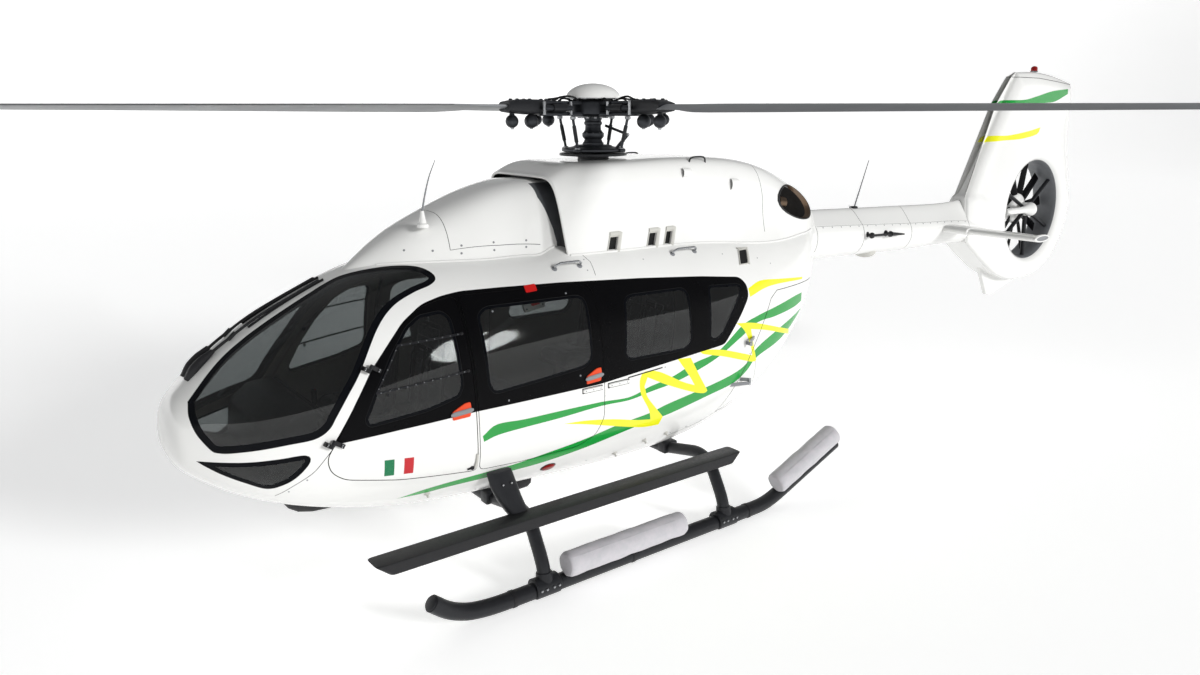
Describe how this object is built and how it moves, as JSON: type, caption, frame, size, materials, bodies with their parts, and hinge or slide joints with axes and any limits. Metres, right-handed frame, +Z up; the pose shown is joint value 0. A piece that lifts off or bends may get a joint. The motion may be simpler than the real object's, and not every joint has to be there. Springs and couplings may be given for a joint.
{
  "type": "light twin-engine utility helicopter",
  "caption": "Utility helicopter on skids, with a glazed cabin, hinged cockpit and rear doors, a four-blade rotor and a shrouded tail fan.",
  "frame": {"origin": "on the ground, at the middle of the bounding box in plan, with the skids standing at Z = 0", "axes": "+X to the port side, +Y towards the tail, so that the nose points to -Y, and +Z up"},
  "size_m": [10.9992, 13.6396, 3.9153],
  "materials": {
    "white_paint": "gloss white paint",
    "black_paint": "satin black paint",
    "tinted_glass": "polished, lightly smoked",
    "dark_metal": "satin dark grey paint on steel",
    "exhaust_steel": "heat-stained steel",
    "blade_composite": "satin grey paint on glass fibre",
    "float_cover": "silver coated cloth",
    "black_plastic": "matt, fine grain",
    "seat_cloth": "dark grey woven cloth",
    "red_lens": "clear red moulded lens"
  },
  "bodies": {
    "airframe": {"lower_hull": "white_paint", "cabin_frame": "white_paint", "sliding_door_left": "white_paint", "sliding_door_right": "white_paint", "front_cowling": "white_paint", "main_cowling": "white_paint", "tail_boom": "white_paint", "fin_shroud": "white_paint", "fan_stator": "white_paint", "stabiliser_left": "white_paint", "stabiliser_right": "white_paint", "windshield_left": "tinted_glass", "windshield_right": "tinted_glass", "chin_window_left": "tinted_glass", "chin_window_right": "tinted_glass", "sliding_glass_left": "tinted_glass", "sliding_glass_right": "tinted_glass", "rear_window_left": "tinted_glass", "rear_window_right": "tinted_glass", "quarter_window_left": "tinted_glass", "quarter_window_right": "tinted_glass", "main_gearbox": "dark_metal", "engine_left": "dark_metal", "engine_right": "dark_metal", "skid_left": "dark_metal", "skid_right": "dark_metal", "cross_tube_front": "dark_metal", "cross_tube_rear": "dark_metal", "exhaust_left": "exhaust_steel", "exhaust_right": "exhaust_steel", "float_front_left": "float_cover", "float_front_right": "float_cover", "float_rear_left": "float_cover", "float_rear_right": "float_cover", "step_left": "black_plastic", "step_right": "black_plastic", "instrument_panel": "black_plastic", "belly_lamp": "black_plastic", "cockpit_seat_left": "seat_cloth", "cockpit_seat_right": "seat_cloth", "cabin_seats_front": "seat_cloth", "cabin_seats_rear": "seat_cloth", "fin_beacon": "red_lens"},
    "cockpit_door_left": {"cockpit_door_left": "white_paint", "cockpit_glass_left": "tinted_glass"},
    "cockpit_door_right": {"cockpit_door_right": "white_paint", "cockpit_glass_right": "tinted_glass"},
    "clamshell_left": {"clamshell_left": "white_paint"},
    "clamshell_right": {"clamshell_right": "white_paint"},
    "main_rotor": {"rotor_mast": "dark_metal", "rotor_hub": "dark_metal", "hub_cap": "white_paint", "swashplate": "dark_metal", "main_blade_1": "blade_composite", "main_blade_2": "blade_composite", "main_blade_3": "blade_composite", "main_blade_4": "blade_composite"},
    "tail_fan": {"tail_fan": "black_paint"}
  },
  "joints": [
    {"name": "cockpit_hinge_left", "type": "hinge", "parent": "airframe", "child": "cockpit_door_left", "pos_m": [0.75, -3.66918, 1.77], "axis": [0.0545, -0.5487, -0.8343], "range_deg": [0, 80]},
    {"name": "cockpit_hinge_right", "type": "hinge", "parent": "airframe", "child": "cockpit_door_right", "pos_m": [-0.75, -3.66918, 1.77], "axis": [0.0545, 0.5487, 0.8343], "range_deg": [0, 80]},
    {"name": "clamshell_hinge_left", "type": "hinge", "parent": "airframe", "child": "clamshell_left", "pos_m": [0.93, -0.32017, 1.1], "axis": [0, 0, -1], "range_deg": [0, 100]},
    {"name": "clamshell_hinge_right", "type": "hinge", "parent": "airframe", "child": "clamshell_right", "pos_m": [-0.93, -0.32017, 1.1], "axis": [0, 0, 1], "range_deg": [0, 100]},
    {"name": "rotor_spin", "type": "hinge", "parent": "airframe", "child": "main_rotor", "pos_m": [0, -1.32018, 3.4], "axis": [0, 0, 1], "continuous": true},
    {"name": "fan_spin", "type": "hinge", "parent": "airframe", "child": "tail_fan", "pos_m": [0, 5.66983, 2.12], "axis": [1, 0, 0], "continuous": true}
  ]
}
